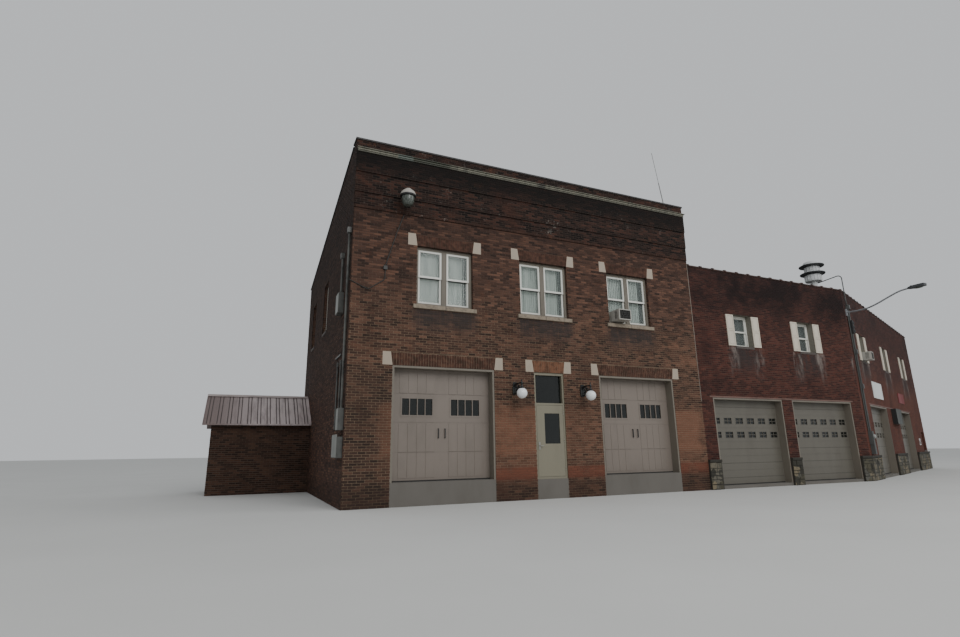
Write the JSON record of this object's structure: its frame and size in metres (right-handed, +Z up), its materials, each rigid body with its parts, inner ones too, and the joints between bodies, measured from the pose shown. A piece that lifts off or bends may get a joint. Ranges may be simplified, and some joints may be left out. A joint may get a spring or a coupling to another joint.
{
  "type": "fire station building",
  "caption": "Two-storey brick fire station with sectional garage doors, a hinged entrance door, a lower angled wing and a small gabled annex.",
  "frame": {"origin": "middle of the main block's plan, on the underside of its raised floor, at the level of the lowest ground", "axes": "+X along the street front to the right, +Y into the building, +Z up"},
  "size_m": [39.3508, 16.9462, 12.4815],
  "materials": {
    "main_brick": "rough",
    "wing_brick": "rough",
    "concrete": "rough",
    "dressed_stone": "matt",
    "rubble_stone": "rough",
    "clay_tile": "semi-gloss",
    "cornice_paint": "matt",
    "coping_metal": "matt",
    "roof_felt": "matt",
    "arch_brick": "rough",
    "garage_door_paint": "satin",
    "wing_door_paint": "satin",
    "lining_paint": "satin",
    "entrance_paint": "satin",
    "white_paint": "satin",
    "shutter_plastic": "matt",
    "clear_glass": "glossy",
    "opal_glass": "glossy",
    "black_iron": "satin",
    "galvanised_steel": "dull",
    "handle_metal": "brushed",
    "siren_paint": "satin",
    "cooler_case": "satin",
    "annex_roof_metal": "satin"
  },
  "bodies": {
    "building": {"ground_floors": "concrete", "front_piers": "main_brick", "head_stones": "dressed_stone", "flat_arches": "arch_brick", "front_wall": "main_brick", "frieze": "main_brick", "cornice": "cornice_paint", "side_walls": "main_brick", "rear_wall": "main_brick", "flat_roofs": "roof_felt", "upper_floors": "concrete", "parapet_coping": "coping_metal", "door_linings": "lining_paint", "garage_doors": "garage_door_paint", "garage_handles": "handle_metal", "wing_doors": "wing_door_paint", "door_glass": "clear_glass", "entrance_frame": "entrance_paint", "entrance_hinges": "handle_metal", "window_sills": "dressed_stone", "slim_sills": "dressed_stone", "main_window_frames": "lining_paint", "window_sashes": "white_paint", "window_glass": "clear_glass", "single_window_frames": "white_paint", "shutters": "shutter_plastic", "wing_piers": "wing_brick", "wing_front_wall": "wing_brick", "angled_wall": "wing_brick", "wing_back_walls": "wing_brick", "wing_coping": "clay_tile", "stone_bases": "rubble_stone", "lamp_brackets": "black_iron", "lamp_globes": "opal_glass", "flood_lamp": "galvanised_steel", "service_conduits": "galvanised_steel", "antenna": "galvanised_steel", "siren": "siren_paint", "service_mast": "galvanised_steel", "street_lamp": "galvanised_steel", "air_conditioners": "cooler_case", "annex_walls": "wing_brick", "annex_roof": "annex_roof_metal"},
    "entrance_leaf": {"entrance_door": "entrance_paint", "entrance_door_glass": "clear_glass", "entrance_handle": "handle_metal"}
  },
  "joints": [
    {"name": "entrance_hinge", "type": "hinge", "parent": "building", "child": "entrance_leaf", "pos_m": [0.4625, -4.903, 0.62], "axis": [0, 0, 1], "range_deg": [0, 90]}
  ]
}
